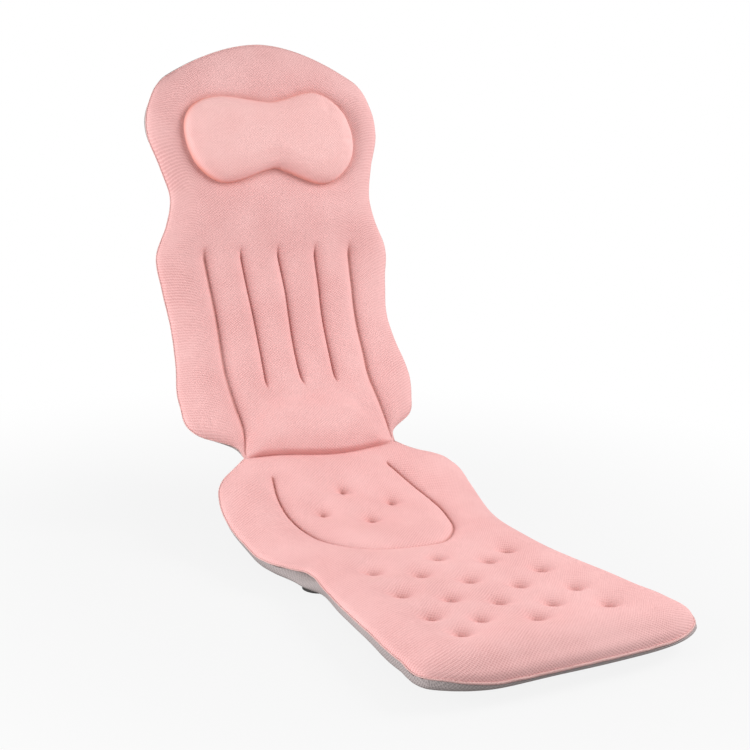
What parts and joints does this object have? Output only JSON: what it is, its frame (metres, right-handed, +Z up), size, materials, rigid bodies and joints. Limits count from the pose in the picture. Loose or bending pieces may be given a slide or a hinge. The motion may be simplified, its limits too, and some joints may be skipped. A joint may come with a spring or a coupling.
{
  "type": "bath pillow",
  "caption": "Full-length padded bath pillow: a tufted seat mat and a channelled back with a bone-shaped head pillow, joined at a fold, with swivelling suction cups underneath.",
  "frame": {"origin": "on the bath's floor, midway between the middle pair of the seat's suction cups", "axes": "+Z up from the bath's floor, +Y from the foot towards the head, +X to the bather's left as they sit, which is the right-hand side seen from the foot"},
  "size_m": [0.3816, 0.8494, 0.6642],
  "materials": {
    "pink_air_mesh": "3D air mesh, matte",
    "pillow_air_mesh": "3D air mesh, matte",
    "grey_base_mesh": "open mesh, matte",
    "fibre_filling": "loose polyester fibre",
    "cup_vinyl": "smooth, half gloss",
    "socket_vinyl": "satin"
  },
  "bodies": {
    "seat": {"seat_top_cover": "pink_air_mesh", "seat_filling": "fibre_filling", "seat_base_cover": "grey_base_mesh", "fold_tape": "pink_air_mesh", "foot_left_socket": "socket_vinyl", "foot_right_socket": "socket_vinyl", "calf_left_socket": "socket_vinyl", "calf_right_socket": "socket_vinyl", "thigh_left_socket": "socket_vinyl", "thigh_right_socket": "socket_vinyl"},
    "back": {"back_top_cover": "pink_air_mesh", "back_filling": "fibre_filling", "back_base_cover": "grey_base_mesh", "lumbar_pad": "fibre_filling", "head_pillow_cover": "pillow_air_mesh", "head_pillow_filling": "fibre_filling", "lumbar_left_socket": "socket_vinyl", "lumbar_right_socket": "socket_vinyl", "shoulder_left_socket": "socket_vinyl", "shoulder_right_socket": "socket_vinyl", "head_left_socket": "socket_vinyl", "head_right_socket": "socket_vinyl"},
    "foot_left_cup_body": {"foot_left_cup": "cup_vinyl"},
    "foot_right_cup_body": {"foot_right_cup": "cup_vinyl"},
    "calf_left_cup_body": {"calf_left_cup": "cup_vinyl"},
    "calf_right_cup_body": {"calf_right_cup": "cup_vinyl"},
    "thigh_left_cup_body": {"thigh_left_cup": "cup_vinyl"},
    "thigh_right_cup_body": {"thigh_right_cup": "cup_vinyl"},
    "lumbar_left_cup_body": {"lumbar_left_cup": "cup_vinyl"},
    "lumbar_right_cup_body": {"lumbar_right_cup": "cup_vinyl"},
    "shoulder_left_cup_body": {"shoulder_left_cup": "cup_vinyl"},
    "shoulder_right_cup_body": {"shoulder_right_cup": "cup_vinyl"},
    "head_left_cup_body": {"head_left_cup": "cup_vinyl"},
    "head_right_cup_body": {"head_right_cup": "cup_vinyl"}
  },
  "joints": [
    {"name": "back_fold", "type": "hinge", "parent": "seat", "child": "back", "pos_m": [0, 0.40365, 0.10201], "axis": [1, 0, 0], "range_deg": [-66, 100]},
    {"name": "foot_left_cup_swivel", "type": "hinge", "parent": "seat", "child": "foot_left_cup_body", "pos_m": [-0.112, -0.116, 0.014], "axis": [0, 0, -1], "continuous": true},
    {"name": "foot_right_cup_swivel", "type": "hinge", "parent": "seat", "child": "foot_right_cup_body", "pos_m": [0.112, -0.116, 0.014], "axis": [0, 0, -1], "continuous": true},
    {"name": "calf_left_cup_swivel", "type": "hinge", "parent": "seat", "child": "calf_left_cup_body", "pos_m": [-0.126, 0, 0.014], "axis": [0, 0, -1], "continuous": true},
    {"name": "calf_right_cup_swivel", "type": "hinge", "parent": "seat", "child": "calf_right_cup_body", "pos_m": [0.126, 0, 0.014], "axis": [0, 0, -1], "continuous": true},
    {"name": "thigh_left_cup_swivel", "type": "hinge", "parent": "seat", "child": "thigh_left_cup_body", "pos_m": [-0.126, 0.1668, 0.014], "axis": [0, 0, -1], "continuous": true},
    {"name": "thigh_right_cup_swivel", "type": "hinge", "parent": "seat", "child": "thigh_right_cup_body", "pos_m": [0.126, 0.1668, 0.014], "axis": [0, 0, -1], "continuous": true},
    {"name": "lumbar_left_cup_swivel", "type": "hinge", "parent": "back", "child": "lumbar_left_cup_body", "pos_m": [-0.13, 0.50433, 0.19174], "axis": [0, 0.8183, -0.5748], "continuous": true},
    {"name": "lumbar_right_cup_swivel", "type": "hinge", "parent": "back", "child": "lumbar_right_cup_body", "pos_m": [0.13, 0.50433, 0.19174], "axis": [0, 0.8183, -0.5748], "continuous": true},
    {"name": "shoulder_left_cup_swivel", "type": "hinge", "parent": "back", "child": "shoulder_left_cup_body", "pos_m": [-0.124, 0.58373, 0.37596], "axis": [0, 0.9781, -0.2079], "continuous": true},
    {"name": "shoulder_right_cup_swivel", "type": "hinge", "parent": "back", "child": "shoulder_right_cup_body", "pos_m": [0.124, 0.58373, 0.37596], "axis": [0, 0.9781, -0.2079], "continuous": true},
    {"name": "head_left_cup_swivel", "type": "hinge", "parent": "back", "child": "head_left_cup_body", "pos_m": [-0.096, 0.62448, 0.56768], "axis": [0, 0.9781, -0.2079], "continuous": true},
    {"name": "head_right_cup_swivel", "type": "hinge", "parent": "back", "child": "head_right_cup_body", "pos_m": [0.096, 0.62448, 0.56768], "axis": [0, 0.9781, -0.2079], "continuous": true}
  ]
}
